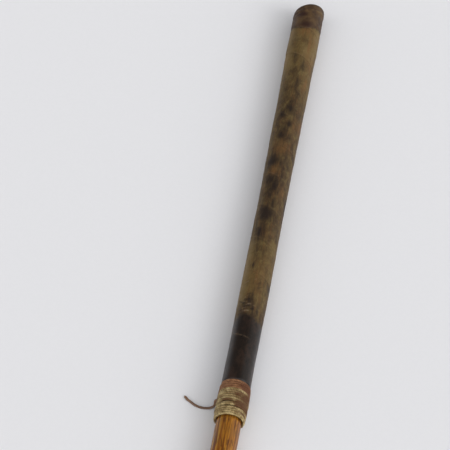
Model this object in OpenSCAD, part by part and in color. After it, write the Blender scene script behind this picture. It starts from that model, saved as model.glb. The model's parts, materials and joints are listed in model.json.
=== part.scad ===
// Boat hook: a round ash pole with a leather-bound grip and butt cap, a twine whipping, and a
// cast bronze head with a straight spike and one curved hook.
// The pole lies along X with its butt towards -X and its spike towards +X. The origin is on the
// pole's axis, in the middle of the straight bare shaft, between the whipping and the dressed nose.
// +Z is up, and the hook is on the +Y side, rolled down until its ball rests on the same level as
// the butt cap.
// Distances named "from the butt" are measured along the axis from the end of the butt cap.

/* [Pole] */
// Length from the end of the butt cap to the tip of the spike
overall_length = 1520; // [1320:10:2400]
// Diameter of the bare shaft
shaft_d = 28; // [27:0.5:30]
// Length of shaft in front of the head that is dressed down to meet it
nose_length = 40; // [35:1:80]
// How far the radius is dressed down at the mouth of the head
nose_relief = 0.2; // [0.1:0.05:0.4]
// How far the radius is scraped down under the whipping
whip_relief = 0.2; // [0.2:0.05:0.3]

/* [Grip] */
// Length of the leather grip, from the butt
grip_length = 583.2; // [480:0.1:640]
// Diameter over the leather at the swelling near the butt
swell_d = 36.2; // [35.6:0.1:36.4]
// Diameter over the leather at the waist of the grip
waist_d = 32.1; // [31:0.1:33]
// Diameter over the leather at the whipping
heel_d = 32.8; // [32.2:0.1:33.4]
// Thickness of the leather strip
leather_t = 1.4; // [1.2:0.1:1.6]
// Thickness of the canvas wound under the leather
underlay_t = 0.8; // [0.6:0.1:1]

/* [Butt cap] */
// Diameter of the leather cap
cap_d = 36.4; // [36.4:0.1:38]
// Length of the cap along the pole
cap_length = 45; // [32:0.1:50]
// Height of the domed end of the cap
cap_dome = 10.3; // [8:0.1:14]
// Wall thickness of the cap's skirt
cap_wall = 1.6; // [1.4:0.1:1.8]
// Diameter of the domed tack in the end of the cap
cap_tack_d = 10; // [8:0.5:12]

/* [Whipping] */
// Diameter of the twine
twine_d = 2.9; // [2.7:0.1:3]
// Length of the whipping along the pole
whip_length = 49.6; // [49.6:0.1:60]
// Turns of twine in the whipping
whip_turns = 15.5; // [13:0.5:15.5]
// Turns of the red-brown twine, next to the leather
upper_turns = 4; // [2:1:6]
// How far the middle of the whipping swells out over the skived end of the leather
whip_swell = 0.7; // [0.5:0.1:0.8]

/* [Head] */
// Length of the head, from the mouth of its socket to the tip of the spike
head_length = 205; // [195:1:240]
// Length of the conical socket
socket_length = 95; // [90:1:100]
// Diameter of the socket just behind its rim
socket_d = 33.2; // [33:0.1:34]
// Diameter at the small end of the socket
neck_d = 24; // [23:0.5:25]
// Diameter of the spike where it leaves the neck
spike_d = 17; // [15:0.5:18]
// Diameter of the spike behind its ball
spike_tip_d = 12; // [10:0.5:13]
// Diameter of the ball on the spike
spike_ball_d = 18; // [16:0.5:20]
// Radius of the hook's bend, to the middle of the arm
hook_bend_r = 27.5; // [25:0.5:30]
// Diameter of the hook's arm
arm_d = 12; // [11:0.5:13]
// Length of the straight run from the bend back to the hook's ball
hook_run = 24; // [18:1:26]
// Diameter of the ball on the hook
hook_ball_d = 12.6; // [12:0.1:14]
// Diameter of the screw heads
screw_head_d = 8.8; // [8:0.1:9]

/* [Hidden] */
$fn = 96;

shaft_r = shaft_d / 2;
cap_r = cap_d / 2;
whip_end = grip_length + whip_length;
head_mouth = overall_length - head_length;
// The origin's place, from the butt
seat_x = (whip_end + head_mouth - nose_length) / 2;

// The grip's outer radius at shares of its length, joined by eased curves
grip_stations = [
    [0, swell_d / 2 - 0.3],
    [0.06, swell_d / 2],
    [0.13, swell_d / 2 - 0.6],
    [0.26, waist_d / 2 + 0.8],
    [0.5, waist_d / 2],
    [0.75, heel_d / 2 + 0.1],
    [0.93, heel_d / 2 - 0.2],
    [1, heel_d / 2]
];
grip_rings = 44;
wrap_t = leather_t + underlay_t;
butt_wood_r = grip_stations[0][1] - wrap_t;
skirt_inner_r = cap_r - cap_wall;
// Where the leather's end is tucked under the cap, and where its canvas underlay starts and stops
tuck_x = 20;
underlay_start = cap_length + 2;
underlay_stop = grip_length - 6;
wood_whip_r = shaft_r - whip_relief;
tongue_min_t = 0.4;
tongue_end = whip_end - 4;
tongue_steps = 10;
// Length of the steps where the leather, and the wood under it, go down under the cap and the whipping
step_length = 1.2;
dome_steps = 14;

twine_r = twine_d / 2;
whip_pitch = (whip_length - twine_d) / whip_turns;
rings_per_turn = 18;
twine_sides = 8;
// Angle round the pole at which the whipping starts, from +Y towards +Z
whip_start_angle = 160;

// The loose end of the whipping's twine, from its exit down to the level that the pole rests on.
// Here x is measured from the whipping's end.
tail_d = 2.8;
tail_route = [
    [-29.5, -19, -4],
    [-29, -19, -7],
    [-28.5, -19, -10],
    [-28, -20, -13],
    [-27.5, -22, -15],
    [-27, -24.5, -16.5],
    [-26.5, -27.5, -16.8],
    [-26, -30.5, -16.8],
    [-26, -33.5, -16.8],
    [-26.5, -36.5, -16.8],
    [-27.5, -39.5, -16.8],
    [-28.5, -42, -16.8],
    [-30, -44.5, -16.8],
    [-31.5, -47, -16.8],
    [-33, -49.5, -16.8],
    [-35, -51.5, -16.8],
    [-37, -53.5, -16.8]
];

tack_head_r = 2.2;
tack_head_t = 0.4;
tack_shank_r = 0.7;
tack_length = 9;
tack_sink = 0.05;
// The domed tack's height, and the distance of its edge from the butt
cap_tack_rise = 1.8;
cap_tack_edge = 0.5;
cap_tack_shank_r = 1.2;
cap_tack_length = 22;
// How far a tack's or screw's shank runs up into its head
shank_lap = 0.2;

bore_mouth_r = shaft_r - nose_relief;
bore_end_r = 9.5;
bore_depth = 82;
// Air left between the wood's end and the floor of the socket
bore_gap = 2;
rim_w = 5;
neck_end = socket_length + 22;
neck_end_r = neck_d / 2 - 1.2;
shoulder_length = 8;
bead_r = 1.6;
hook_centre_x = neck_end - 5;
hook_centre_y = hook_bend_r + 4.5;
// How far the hook's straight run leans away from the pole, and where it starts
hook_lean = 4;
hook_run_x = hook_centre_x + hook_bend_r * sin(hook_lean);
hook_run_y = hook_centre_y + hook_bend_r * cos(hook_lean);
hook_tip_r = 4.6;
// How far the straight run starts inside the bend, and how much slimmer it is there
joint_lap = 1.5;
joint_step = 0.1;
hook_ball_x = hook_run_x - hook_run * cos(hook_lean);
hook_ball_y = hook_run_y + hook_run * sin(hook_lean);
// Roll that brings the hook's ball down to the level of the cap's underside
hook_roll = asin((cap_r - hook_ball_d / 2) / hook_ball_y);

screw_shank_r = 2.1;
screw_head_t = 2.4;
screw_length = 15;
screw_sink = 0.3;
slot_w = 1;
slot_depth = 0.9;
// Each screw's distance from the socket's mouth, and its angle round the axis from +Z
screws = [[24, 0], [46, 180]];

// Radius of the socket's cone at distance x from its mouth
function socket_r(x) = socket_d / 2 - (socket_d - neck_d) / 2 * x / socket_length;

// 0 to 1 with level ends
function ease(u) = (1 - cos(180 * u)) / 2;

// Radius at share u along stations of [share, radius]
function station_r(u, s, i = 0) =
    u > s[i + 1][0] && i < len(s) - 2
        ? station_r(u, s, i + 1)
        : s[i][1] + (s[i + 1][1] - s[i][1]) * ease((u - s[i][0]) / (s[i + 1][0] - s[i][0]));

// Radius over the leather at distance x from the butt
function grip_r(x) = station_r((x - cap_length) / (grip_length - cap_length), grip_stations);

// Points of a half dome, from its apex out to its edge, as [radius, distance from the butt]
function dome(r, apex, height) =
    [for (i = [0 : dome_steps]) let (a = 90 * i / dome_steps) [r * sin(a), apex + height * (1 - cos(a))]];

// Points along the grip between two distances, each inset from the leather's surface
function grip_line(from, to, inset) =
    [for (i = [0 : grip_rings]) let (x = from + (to - from) * i / grip_rings) [grip_r(x) - inset, x]];

function reversed(list) = [for (i = [len(list) - 1 : -1 : 0]) list[i]];

// Thickness of the leather's skived end, under the whipping
function tongue_t(x) = tongue_min_t + whip_swell * sin(180 * (x - grip_length) / whip_length);

// Points over the leather's skived end
function tongue_line() =
    [for (i = [0 : tongue_steps]) let (x = grip_length + (tongue_end - grip_length) * i / tongue_steps)
        [wood_whip_r + tongue_t(x), x]];

// One ring of the whipping's twine, k turns from its start. Its chords stay outside what it binds.
function twine_ring(k) =
    let (
        x = grip_length + twine_r + whip_pitch * k,
        a = whip_start_angle - 360 * k,
        seat_r = (wood_whip_r + tongue_t(x)) / cos(180 / rings_per_turn),
        out = [0, cos(a), sin(a)]
    )
    [for (j = [0 : twine_sides - 1])
        let (b = 360 * j / twine_sides)
        [x - seat_x, 0, 0] + out * (seat_r + twine_r + twine_r * cos(b)) + [twine_r * sin(b), 0, 0]];

function twine_rings(from, to) =
    let (n = ceil((to - from) * rings_per_turn))
    [for (i = [0 : n]) twine_ring(from + (to - from) * i / n)];

function unit(v) = v / norm(v);

// Ring i of a tube along a route that stays near level
function route_ring(route, i, r) =
    let (
        ahead = unit(route[min(i + 1, len(route) - 1)] - route[max(i - 1, 0)]),
        side = unit(cross(ahead, [0, 0, 1])),
        up = cross(side, ahead)
    )
    [for (j = [0 : twine_sides - 1])
        let (b = 360 * j / twine_sides)
        route[i] + r * cos(b) * side + r * sin(b) * up];

// A closed tube through rings of points
module tube(rings) {
    sides = len(rings[0]);
    last = len(rings) - 1;
    polyhedron(
        points = [for (ring = rings) each ring],
        faces = concat(
            [[for (j = [0 : sides - 1]) j]],
            [for (i = [0 : last - 1], j = [0 : sides - 1])
                [i * sides + j, (i + 1) * sides + j,
                 (i + 1) * sides + (j + 1) % sides, i * sides + (j + 1) % sides]],
            [[for (j = [sides - 1 : -1 : 0]) last * sides + j]]
        )
    );
}

// Turns an outline of [radius, distance from the butt] round the pole's axis
module turned(points) {
    translate([-seat_x, 0, 0]) rotate([0, 90, 0]) rotate_extrude() polygon(points);
}

// Sets a piece drawn upwards from the axis at distance x from the butt
module radial(x, angle = 0) {
    translate([x - seat_x, 0, 0]) rotate([angle, 0, 0]) children();
}

// Stands the head's own frame, with x from the socket's mouth, on the pole's nose
module on_nose() {
    translate([head_mouth - seat_x, 0, 0]) rotate([-hook_roll, 0, 0]) children();
}

// Lays a shape drawn up Z along the pole
module along(x = 0) {
    translate([x, 0, 0]) rotate([0, 90, 0]) children();
}

// A flat-headed tack driven towards the axis, sunk just under a round surface of radius r.
// With mouth, the hole above its head is there too.
module flat_tack(x, r, mouth) {
    top_r = sqrt(r * r - tack_head_r * tack_head_r) - tack_sink;
    radial(x) {
        translate([0, 0, top_r - tack_head_t]) cylinder(h = tack_head_t + (mouth ? 1 : 0), r = tack_head_r);
        translate([0, 0, top_r - tack_length])
            cylinder(h = tack_length - tack_head_t + shank_lap, r = tack_shank_r);
    }
}

// The two tacks that hold the leather's ends, under the cap and under the whipping
module both_tacks(mouth = false) {
    end_x = grip_length + whip_length / 2;
    flat_tack((tuck_x + cap_length) / 2, skirt_inner_r, mouth);
    flat_tack(end_x, wood_whip_r + tongue_t(end_x), mouth);
}

// The cap's domed tack. Its edge is let into the leather, level with where the cap's dome falls away.
module cap_tack_solid() {
    head_r = cap_tack_d / 2;
    ball_r = (head_r * head_r + cap_tack_rise * cap_tack_rise) / (2 * cap_tack_rise);
    translate([cap_tack_edge - seat_x, 0, 0]) {
        intersection() {
            translate([ball_r - cap_tack_rise, 0, 0]) sphere(r = ball_r);
            along(-cap_tack_rise - 1) cylinder(h = cap_tack_rise + 1, r = head_r);
        }
        along(-shank_lap) cylinder(h = cap_tack_length, r = cap_tack_shank_r);
    }
}

// One countersunk wood screw in the head's frame, without its slot
module screw_solid(x, angle) {
    top_r = socket_r(x) - screw_sink;
    translate([x, 0, 0]) rotate([angle, 0, 0]) {
        translate([0, 0, top_r - screw_head_t])
            cylinder(h = screw_head_t, r1 = screw_shank_r, r2 = screw_head_d / 2);
        translate([0, 0, top_r - screw_length])
            cylinder(h = screw_length - screw_head_t + shank_lap, r = screw_shank_r);
    }
}

// The two screws, and with_mouth the open holes above their sunk heads
module both_screws(with_mouth = false) {
    for (s = screws) {
        screw_solid(s[0], s[1]);
        if (with_mouth)
            translate([s[0], 0, 0]) rotate([s[1], 0, 0])
                translate([0, 0, socket_r(s[0]) - screw_sink]) cylinder(h = 2, r = screw_head_d / 2);
    }
}

module pole() {
    color("peru") difference() {
        turned(concat(
            dome(butt_wood_r, cap_wall, cap_dome - cap_wall),
            [[butt_wood_r, cap_length]],
            grip_line(cap_length, grip_length - step_length, wrap_t),
            [
                [wood_whip_r, grip_length],
                [wood_whip_r, whip_end],
                [shaft_r, whip_end],
                [shaft_r, head_mouth - nose_length],
                [bore_mouth_r, head_mouth],
                [bore_end_r, head_mouth + bore_depth - bore_gap],
                [0, head_mouth + bore_depth - bore_gap]
            ]
        ));
        both_tacks();
        cap_tack_solid();
        on_nose() both_screws();
    }
}

module grip_underlay() {
    color("tan") turned(concat(
        grip_line(underlay_start, underlay_stop, leather_t),
        reversed(grip_line(underlay_start, underlay_stop, wrap_t))
    ));
}

module grip_leather() {
    color("#4c3d2b") difference() {
        turned(concat(
            [[butt_wood_r, tuck_x], [skirt_inner_r, tuck_x], [skirt_inner_r, cap_length]],
            grip_line(cap_length + step_length, grip_length - step_length, 0),
            tongue_line(),
            [[wood_whip_r, tongue_end], [wood_whip_r, grip_length]],
            reversed(grip_line(underlay_stop, grip_length - step_length, wrap_t)),
            reversed(grip_line(underlay_start, underlay_stop, leather_t)),
            reversed(grip_line(cap_length, underlay_start, wrap_t))
        ));
        both_tacks(mouth = true);
    }
}

module leather_tacks() {
    color("sienna") both_tacks();
}

module butt_cap() {
    edge_round = 0.8;
    color("#493829") difference() {
        turned(concat(
            dome(cap_r, 0, cap_dome),
            [
                [cap_r, cap_length - edge_round],
                [cap_r - edge_round / 3, cap_length - edge_round / 3],
                [cap_r - edge_round, cap_length],
                [skirt_inner_r, cap_length],
                [skirt_inner_r, tuck_x],
                [butt_wood_r, tuck_x]
            ],
            reversed(dome(butt_wood_r, cap_wall, cap_dome - cap_wall))
        ));
        cap_tack_solid();
    }
}

module cap_tack() {
    color("darkgoldenrod") cap_tack_solid();
}

module whipping_upper() {
    // The last ring stops just short of the next twine's first
    color("#6b4a33") tube(twine_rings(0, upper_turns - 0.01));
}

module whipping_main() {
    color("#8d7650") tube(twine_rings(upper_turns, whip_turns));
}

module whipping_tail() {
    color("#5d4230") translate([whip_end - seat_x, 0, 0])
        tube([for (i = [0 : len(tail_route) - 1]) route_ring(tail_route, i, tail_d / 2)]);
}

// The socket, neck and spike, turned about the pole's axis
module socket_and_spike() {
    spike_start = neck_end + shoulder_length;
    ball_x = head_length - spike_ball_d / 2;
    along() cylinder(h = socket_length, r1 = socket_d / 2, r2 = neck_d / 2);
    along() cylinder(h = rim_w, r = cap_r - 0.8);
    along(rim_w / 2) rotate_extrude() translate([cap_r - rim_w / 2, 0]) circle(r = rim_w / 2);
    along(socket_length) cylinder(h = neck_end - socket_length, r1 = neck_d / 2, r2 = neck_end_r);
    along(socket_length) rotate_extrude() translate([neck_d / 2, 0]) circle(r = bead_r);
    along(neck_end) cylinder(h = shoulder_length, r1 = neck_end_r, r2 = spike_d / 2);
    along(spike_start) cylinder(h = ball_x - spike_start, r1 = spike_d / 2, r2 = spike_tip_d / 2);
    translate([ball_x, 0, 0]) sphere(r = spike_ball_d / 2);
}

// The curved arm, from inside the neck out to its ball
module hook_arm() {
    translate([hook_centre_x, hook_centre_y, 0]) rotate([0, 0, -90])
        rotate_extrude(angle = 180 - hook_lean) translate([hook_bend_r, 0]) circle(r = arm_d / 2);
    translate([hook_run_x, hook_run_y, 0]) rotate([0, 0, -hook_lean]) rotate([0, -90, 0])
        translate([0, 0, -joint_lap])
            cylinder(h = hook_run + joint_lap, r1 = arm_d / 2 - joint_step, r2 = hook_tip_r);
    translate([hook_ball_x, hook_ball_y, 0]) sphere(r = hook_ball_d / 2);
}

module hook_head() {
    color("darkgoldenrod") on_nose() difference() {
        union() {
            socket_and_spike();
            hook_arm();
        }
        along() cylinder(h = bore_depth, r1 = bore_mouth_r, r2 = bore_end_r);
        both_screws(with_mouth = true);
    }
}

module head_screws() {
    color("goldenrod") on_nose() difference() {
        both_screws();
        for (s = screws)
            translate([s[0], 0, 0]) rotate([s[1], 0, 0]) translate([0, 0, socket_r(s[0]) - screw_sink])
                cube([slot_w, screw_head_d + 1, 2 * slot_depth], center = true);
    }
}

pole();
grip_underlay();
grip_leather();
leather_tacks();
butt_cap();
cap_tack();
whipping_upper();
whipping_main();
whipping_tail();
hook_head();
head_screws();
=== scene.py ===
"""The looks of a boat hook: a leather-bound ash pole, its twine whipping and its bronze head.

Everything is in metres in the part's own frame: the pole lies along X, its butt towards -X, and the
origin is in the middle of the bare shaft. Angles round the pole run from +Y towards +Z, in degrees.
"""

import json
import math

import bpy
import numpy as np
from mathutils import Matrix, Vector, noise


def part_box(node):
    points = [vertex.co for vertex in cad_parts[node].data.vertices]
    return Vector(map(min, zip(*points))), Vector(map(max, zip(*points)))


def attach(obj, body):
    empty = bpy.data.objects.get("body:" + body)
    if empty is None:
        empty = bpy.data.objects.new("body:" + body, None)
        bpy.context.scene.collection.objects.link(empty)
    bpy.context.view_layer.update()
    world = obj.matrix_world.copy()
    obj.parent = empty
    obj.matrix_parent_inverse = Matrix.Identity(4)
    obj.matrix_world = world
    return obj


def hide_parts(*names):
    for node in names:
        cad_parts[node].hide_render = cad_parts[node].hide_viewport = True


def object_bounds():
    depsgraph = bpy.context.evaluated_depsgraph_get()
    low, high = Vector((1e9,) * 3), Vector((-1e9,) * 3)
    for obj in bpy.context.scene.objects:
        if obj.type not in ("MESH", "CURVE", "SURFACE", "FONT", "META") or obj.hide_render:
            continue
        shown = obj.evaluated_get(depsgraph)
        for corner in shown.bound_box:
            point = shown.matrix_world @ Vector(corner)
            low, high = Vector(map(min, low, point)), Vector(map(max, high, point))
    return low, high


MM = 0.001
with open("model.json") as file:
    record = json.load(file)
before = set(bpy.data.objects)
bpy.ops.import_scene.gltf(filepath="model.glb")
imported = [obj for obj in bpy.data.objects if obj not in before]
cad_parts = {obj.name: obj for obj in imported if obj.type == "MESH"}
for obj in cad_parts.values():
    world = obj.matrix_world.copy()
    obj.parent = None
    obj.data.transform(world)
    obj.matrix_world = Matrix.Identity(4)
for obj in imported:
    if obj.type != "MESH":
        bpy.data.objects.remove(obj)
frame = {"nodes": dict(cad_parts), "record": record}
cad_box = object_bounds()

# ---------------------------------------------------------------- places, from the frame
# The overall length in mm, as in the CAD model
LENGTH = 1520
HEAD_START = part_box("hook_head")[0].x
HEAD_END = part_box("hook_head")[1].x
BUTT = HEAD_END - LENGTH * MM
CAP_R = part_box("butt_cap")[1].z
WHIP_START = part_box("whipping_upper")[0].x
WHIP_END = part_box("whipping_main")[1].x
FLOOR = cad_box[0].z
SHAFT_R = frame["record"]["mounts"][0]["dims"]["r_mm"] * MM

# ---------------------------------------------------------------- camera
FOCAL = 240
SENSOR = 36
# The camera looks at this point of the pole's axis, from this far off
AIM = Vector((-0.5941, 0, 0))
VIEW_DISTANCE = 3.4423
# Lean of the line of sight from straight down, towards the butt
VIEW_TILT = 39.2
# The pole's lean to the right in the picture
VIEW_ROLL = 11.14
# How far the camera then turns aside, which puts the pole right of the middle
VIEW_TURN = 0.8


def make_camera():
    tilt, roll, turn = (math.radians(a) for a in (VIEW_TILT, VIEW_ROLL, VIEW_TURN))
    inward = Vector((-math.sin(tilt), 0, -math.cos(tilt)))
    along = Vector((-math.cos(tilt), 0, math.sin(tilt)))
    across = Vector((0, 1, 0))
    forward = inward * math.cos(turn) - across * math.sin(turn)
    level = inward * math.sin(turn) + across * math.cos(turn)
    right = level * math.cos(roll) + along * math.sin(roll)
    up = along * math.cos(roll) - level * math.sin(roll)
    data = bpy.data.cameras.new("camera")
    data.lens = FOCAL
    data.sensor_width = SENSOR
    data.clip_end = 100
    camera = bpy.data.objects.new("camera", data)
    placed = Matrix((right, up, -forward)).transposed().to_4x4()
    placed.translation = AIM - inward * VIEW_DISTANCE
    camera.matrix_world = placed
    bpy.context.scene.collection.objects.link(camera)
    bpy.context.scene.camera = camera


make_camera()


# ---------------------------------------------------------------- maths helpers
def ease(u):
    """0 to 1 with level ends."""
    u = np.clip(u, 0, 1)
    return u * u * (3 - 2 * u)


def between(low, high, x):
    """0 below low, 1 above high, eased in between."""
    return ease((np.asarray(x, float) - low) / (high - low))


def hump(x, centre, half_width):
    """1 at the centre, falling off to nothing a few half widths away."""
    return np.exp(-(((np.asarray(x, float) - centre) / half_width) ** 2))


def eased_curve(x, stations):
    """The value at x of a curve through stations of (x, value), level at each one."""
    x = np.asarray(x, float)
    value = np.full(x.shape, float(stations[0][1]))
    for (x0, v0), (x1, v1) in zip(stations, stations[1:]):
        value = np.where(x > x0, v0 + (v1 - v0) * ease((x - x0) / (x1 - x0)), value)
    return value


def lumps(x, y, z, seed, octaves=3):
    """Smooth noise of about -1 to 1, at coordinates already divided by the size of a lump."""
    x, y, z = np.broadcast_arrays(x, y, z)
    shift = seed * 17.31
    flat = np.stack([x.ravel() + shift, y.ravel() - shift, z.ravel() + 0.5 * shift], 1)
    value = [noise.fractal(Vector(p), 1.0, 2.0, octaves) for p in flat]
    return np.array(value).reshape(x.shape)


def around(angle, centre):
    """How far an angle is from a centre, in degrees, the short way round."""
    return (np.asarray(angle, float) - centre + 180) % 360 - 180


def patches(x, angle, spots):
    """The strongest of many soft spots of (mm from the butt, angle, half length, half width, strength)."""
    value = np.zeros(x.shape)
    for centre, middle, length, width, strength in spots:
        spot = hump(x, centre, length) * hump(around(angle, middle), 0, width)
        value = np.maximum(value, strength * spot)
    return value


# ---------------------------------------------------------------- mesh helpers
def add_mesh(name, vertices, faces, material, replaced):
    """A smooth-shaded mesh object that rides on the part, in place of the CAD nodes in replaced."""
    mesh = bpy.data.meshes.new(name)
    mesh.from_pydata(np.asarray(vertices, float).tolist(), [], faces)
    mesh.validate()
    mesh.shade_smooth()
    mesh.materials.append(material)
    piece = bpy.data.objects.new(name, mesh)
    bpy.context.scene.collection.objects.link(piece)
    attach(piece, "root")
    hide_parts(*replaced)
    return piece


def ring_faces(rings, sides, closed):
    """Quads between rings of points, wound so that they face outwards, and their ends' caps."""
    spans = rings if closed else rings - 1
    faces = [
        (
            i * sides + j,
            (i + 1) % rings * sides + j,
            (i + 1) % rings * sides + (j + 1) % sides,
            i * sides + (j + 1) % sides,
        )
        for i in range(spans)
        for j in range(sides)
    ]
    if not closed:
        faces.append(tuple(range(sides)))
        faces.append(tuple((rings - 1) * sides + j for j in reversed(range(sides))))
    return faces


def lathe(name, x, r, material, replaced, closed=True):
    """A piece turned round the pole. x and r are arrays of (rings, sides), in mm from the butt."""
    rings, sides = r.shape
    a = np.radians(angles(sides))[None, :]
    x = np.broadcast_to(x, r.shape)
    points = np.stack([BUTT + x * MM, r * np.cos(a) * MM, r * np.sin(a) * MM], -1)
    points[..., 2] = np.maximum(points[..., 2], FLOOR)
    faces = ring_faces(rings, sides, closed)
    return add_mesh(name, points.reshape(-1, 3), faces, material, replaced)


def angles(sides):
    return np.arange(sides) * 360 / sides


def paint(piece, **values):
    """Stores arrays of one number a vertex on the mesh, for its material to read."""
    for name, value in values.items():
        attribute = piece.data.attributes.new(name, "FLOAT", "POINT")
        attribute.data.foreach_set("value", np.asarray(value, np.float32).ravel())


def points_and_normals(mesh):
    """Where each vertex is, and which way it faces."""
    points = np.zeros(len(mesh.vertices) * 3)
    mesh.vertices.foreach_get("co", points)
    normals = np.zeros(len(mesh.vertices) * 3, np.float32)
    mesh.vertices.foreach_get("normal", normals)
    return points.reshape(-1, 3), normals.reshape(-1, 3).astype(float)


def curvature(piece, passes):
    """How much each vertex stands proud of its neighbours (above 0) or lies in a hollow (below 0)."""
    mesh = piece.data
    count = len(mesh.vertices)
    points, normals = points_and_normals(mesh)
    edges = np.zeros(len(mesh.edges) * 2, int)
    mesh.edges.foreach_get("vertices", edges)
    a, b = edges.reshape(-1, 2).T
    step = points[b] - points[a]
    length = np.linalg.norm(step, axis=1) + 1e-9
    bend = np.zeros(count)
    number = np.zeros(count)
    np.add.at(bend, a, -(step * normals[a]).sum(1) / length)
    np.add.at(bend, b, (step * normals[b]).sum(1) / length)
    np.add.at(number, a, 1)
    np.add.at(number, b, 1)
    bend /= np.maximum(number, 1)
    for _ in range(passes):
        total = np.zeros(count)
        np.add.at(total, a, bend[b])
        np.add.at(total, b, bend[a])
        bend = (bend + total / np.maximum(number, 1)) / 2
    return bend


# ---------------------------------------------------------------- material helpers
def srgb(red, green, blue):
    """A colour of 0 to 255 as shown on a screen, as the shader wants it."""
    shown = np.array([red, green, blue]) / 255
    linear = np.where(shown > 0.04, ((shown + 0.055) / 1.055) ** 2.4, shown / 12.92)
    return (*linear.tolist(), 1)


class Graph:
    """A node tree. Each method adds a node and returns the socket that comes out of it."""

    def __init__(self, tree):
        self.nodes = tree.nodes
        self.links = tree.links
        self.nodes.clear()

    def link(self, out, into):
        self.links.new(out, into)

    def put(self, socket, value):
        if isinstance(value, bpy.types.NodeSocket):
            self.link(value, socket)
        else:
            socket.default_value = value

    def scaled(self, x, y, z):
        node = self.nodes.new("ShaderNodeVectorMath")
        node.operation = "MULTIPLY"
        self.put(node.inputs[0], self.place)
        node.inputs[1].default_value = (x, y, z)
        return node.outputs[0]

    def noise(self, vector, scale=1.0, detail=3.0, roughness=0.5, distortion=0.0):
        node = self.nodes.new("ShaderNodeTexNoise")
        self.put(node.inputs["Vector"], vector)
        node.inputs["Scale"].default_value = scale
        node.inputs["Detail"].default_value = detail
        node.inputs["Roughness"].default_value = roughness
        node.inputs["Distortion"].default_value = distortion
        return node.outputs["Fac"]

    def cells(self, vector, scale=1.0, randomness=1.0):
        node = self.nodes.new("ShaderNodeTexVoronoi")
        self.put(node.inputs["Vector"], vector)
        node.inputs["Scale"].default_value = scale
        node.inputs["Randomness"].default_value = randomness
        return node.outputs["Distance"]

    def painted(self, name):
        node = self.nodes.new("ShaderNodeAttribute")
        node.attribute_name = name
        return node.outputs["Fac"]

    def math(self, operation, a, b):
        node = self.nodes.new("ShaderNodeMath")
        node.operation = operation
        self.put(node.inputs[0], a)
        self.put(node.inputs[1], b)
        return node.outputs[0]

    def fit(self, value, low, high, to_low=0.0, to_high=1.0):
        node = self.nodes.new("ShaderNodeMapRange")
        node.interpolation_type = "SMOOTHSTEP"
        for i, number in enumerate((value, low, high, to_low, to_high)):
            self.put(node.inputs[i], number)
        return node.outputs[0]

    def blend(self, share, a, b):
        node = self.nodes.new("ShaderNodeMix")
        for i, number in ((0, share), (2, a), (3, b)):
            self.put(node.inputs[i], number)
        return node.outputs[0]

    def parts(self, vector):
        node = self.nodes.new("ShaderNodeSeparateXYZ")
        self.put(node.inputs[0], vector)
        return node.outputs

    def mix(self, share, a, b):
        node = self.nodes.new("ShaderNodeMix")
        node.data_type = "RGBA"
        self.put(node.inputs[0], share)
        self.put(node.inputs[6], a)
        self.put(node.inputs[7], b)
        return node.outputs[2]

    def bump(self, height, depth_mm):
        node = self.nodes.new("ShaderNodeBump")
        node.inputs["Strength"].default_value = 1
        node.inputs["Distance"].default_value = depth_mm * MM
        self.put(node.inputs["Height"], height)
        return node.outputs[0]


class Material(Graph):
    """A Principled material. Its keyword arguments are the shader's constant values."""

    def __init__(self, name, **constants):
        self.made = bpy.data.materials.new(name)
        self.made.use_nodes = True
        super().__init__(self.made.node_tree)
        self.shader = self.nodes.new("ShaderNodeBsdfPrincipled")
        output = self.nodes.new("ShaderNodeOutputMaterial")
        self.link(self.shader.outputs[0], output.inputs["Surface"])
        for socket, value in constants.items():
            self.shader.inputs[socket.replace("_", " ")].default_value = value
        self.place = self.nodes.new("ShaderNodeTexCoord").outputs["Object"]

    def set(self, **values):
        for socket, value in values.items():
            self.put(self.shader.inputs[socket.replace("_", " ")], value)


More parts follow.
